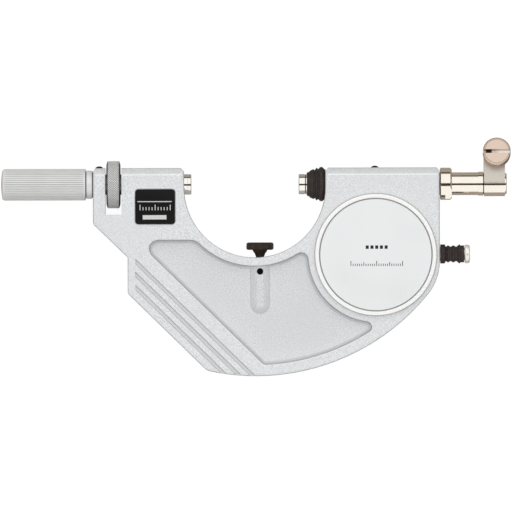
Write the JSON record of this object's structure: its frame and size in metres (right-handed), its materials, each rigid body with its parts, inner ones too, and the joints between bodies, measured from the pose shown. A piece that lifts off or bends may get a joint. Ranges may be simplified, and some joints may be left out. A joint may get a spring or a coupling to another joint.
{
  "type": "indicating snap micrometer",
  "caption": "Outside micrometer of the snap type: cast frame, wheel-driven spindle, sprung anvil with a retract button, backrest and a split clamp for an indicator stem.",
  "frame": {"origin": "centre of the sprung anvil's measuring face", "axes": "+X along the measuring axis from the spindle to the anvil, +Y out of the throat, +Z the front, with the round cover"},
  "size_m": [0.2374, 0.1108, 0.0222],
  "materials": {
    "hammered_grey_paint": "fine hammered light grey paint on cast iron",
    "satin_chrome": "satin",
    "knurled_steel": "fine diamond knurl",
    "polished_steel": "ground and lapped",
    "warm_nickel": "polished nickel plate",
    "satin_aluminium": "satin",
    "black_oxide": "black oxide",
    "black_plate": "black anodised",
    "black_rubber": "matte",
    "dark_bronzed_steel": "blackened",
    "ground_steel": "ground"
  },
  "bodies": {
    "root": {"frame": "hammered_grey_paint", "nameplate": "black_plate", "round_cover": "polished_steel", "cover_disc": "satin_aluminium", "clamp_bush": "satin_chrome", "spindle_key_screw": "black_oxide", "anvil_key_screw": "black_oxide", "anvil_boot": "black_rubber", "anvil_spring": "ground_steel", "lever_pivot_pin": "ground_steel", "pivot_clip": "black_oxide", "rod_guide": "ground_steel", "button_boot": "black_rubber", "stem_tube": "warm_nickel", "stem_lock_nut": "warm_nickel", "indicator_clamp": "warm_nickel"},
    "wheel": {"adjusting_wheel": "knurled_steel"},
    "spindle": {"spindle": "polished_steel", "spindle_tip": "polished_steel"},
    "cap": {"spindle_cap": "satin_chrome"},
    "backrest": {"backrest": "dark_bronzed_steel"},
    "set_screw": {"backrest_set_screw": "black_oxide"},
    "anvil": {"anvil_tip": "polished_steel", "anvil_spindle": "polished_steel"},
    "lever": {"retract_lever": "ground_steel"},
    "button": {"push_rod": "ground_steel", "button_cap": "polished_steel"},
    "clamp_screw": {"clamp_screw": "warm_nickel"}
  },
  "joints": [
    {"name": "wheel_turn", "type": "hinge", "parent": "root", "child": "wheel", "pos_m": [-0.0863, 0, 0], "axis": [-1, 0, 0], "range_deg": [0, 9000]},
    {"name": "spindle_travel", "type": "slide", "parent": "root", "child": "spindle", "axis": [1, 0, 0], "range_m": [0, 0.025]},
    {"name": "cap_lock", "type": "hinge", "parent": "root", "child": "cap", "pos_m": [-0.119, 0, 0], "axis": [-1, 0, 0], "range_deg": [0, 90]},
    {"name": "backrest_slide", "type": "slide", "parent": "root", "child": "backrest", "axis": [0, 1, 0], "range_m": [0, 0.0145]},
    {"name": "set_screw_turn", "type": "hinge", "parent": "root", "child": "set_screw", "pos_m": [-0.0181, -0.0406, 0.0038], "axis": [0, 0, 1], "range_deg": [0, 360]},
    {"name": "anvil_retract", "type": "slide", "parent": "root", "child": "anvil", "axis": [1, 0, 0], "range_m": [0, 0.002], "stiffness_N_per_m": 1600, "springref_m": -0.005, "deforming": ["anvil_spring", "anvil_boot"]},
    {"name": "button_press", "type": "slide", "parent": "root", "child": "button", "axis": [-1, 0, 0], "range_m": [0, 0.00243], "deforming": ["button_boot"]},
    {"name": "lever_swing", "type": "hinge", "parent": "root", "child": "lever", "pos_m": [0.042, -0.016, 0], "axis": [0, 0, -1], "range_deg": [0, 8.31]},
    {"name": "clamp_screw_turn", "type": "hinge", "parent": "root", "child": "clamp_screw", "pos_m": [0.0922, 0.01262, -0.00268], "axis": [0, 0.2079, 0.9781], "range_deg": [0, 360]}
  ],
  "couplings": [
    {"joint": "wheel_turn", "follows": "spindle_travel", "rad_per_m": 6283.2},
    {"joint": "button_press", "follows": "anvil_retract", "ratio": 1.2101},
    {"joint": "lever_swing", "follows": "anvil_retract", "rad_per_m": 72.464}
  ]
}
